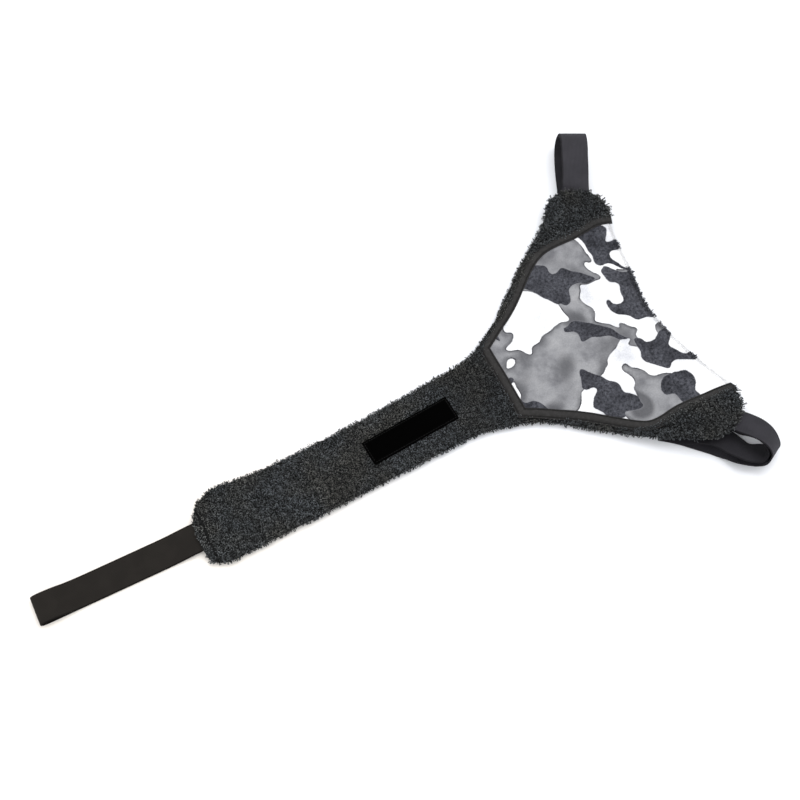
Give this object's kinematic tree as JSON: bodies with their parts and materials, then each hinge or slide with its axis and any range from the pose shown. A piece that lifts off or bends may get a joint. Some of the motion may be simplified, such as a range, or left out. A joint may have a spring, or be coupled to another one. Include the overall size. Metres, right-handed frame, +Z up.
{
  "type": "bicycle sweat guard",
  "caption": "Y-shaped terry cover that keeps sweat off a bicycle frame, with a printed panel on its head and elastic loops for the handlebar and the seatpost",
  "frame": {"origin": "middle of the bounding box's base, on the surface that the cover lies on", "axes": "+X runs along the arm from the tail loop to the head, +Y across it towards the left head corner, +Z up"},
  "size_m": [0.6164, 0.357, 0.0287],
  "materials": {
    "terry": "charcoal looped cotton terry, long soft pile",
    "printed_fabric": "short brushed pile printed in greys and white",
    "tape": "plain woven binding tape, matte",
    "label": "flat black label, slight sheen",
    "webbing": "knitted elastic webbing, fine lengthwise ribs",
    "film": "thin soft waterproof film",
    "thread": "polyester sewing thread"
  },
  "bodies": {
    "root": {"terry_back": "terry", "moisture_barrier": "film", "terry_front": "terry", "print_panel": "printed_fabric", "binding_tape": "tape", "label_patch": "label", "elastic_loop_tail": "webbing", "elastic_loop_left": "webbing", "elastic_loop_right": "webbing", "label_stitching": "thread", "tape_stitching_outer": "thread", "tape_stitching_inner": "thread", "tail_stitching": "thread", "left_loop_stitching": "thread", "right_loop_stitching": "thread", "bow_edge_stitching": "thread", "side_seam_left": "thread", "side_seam_right": "thread"}
  },
  "joints": []
}
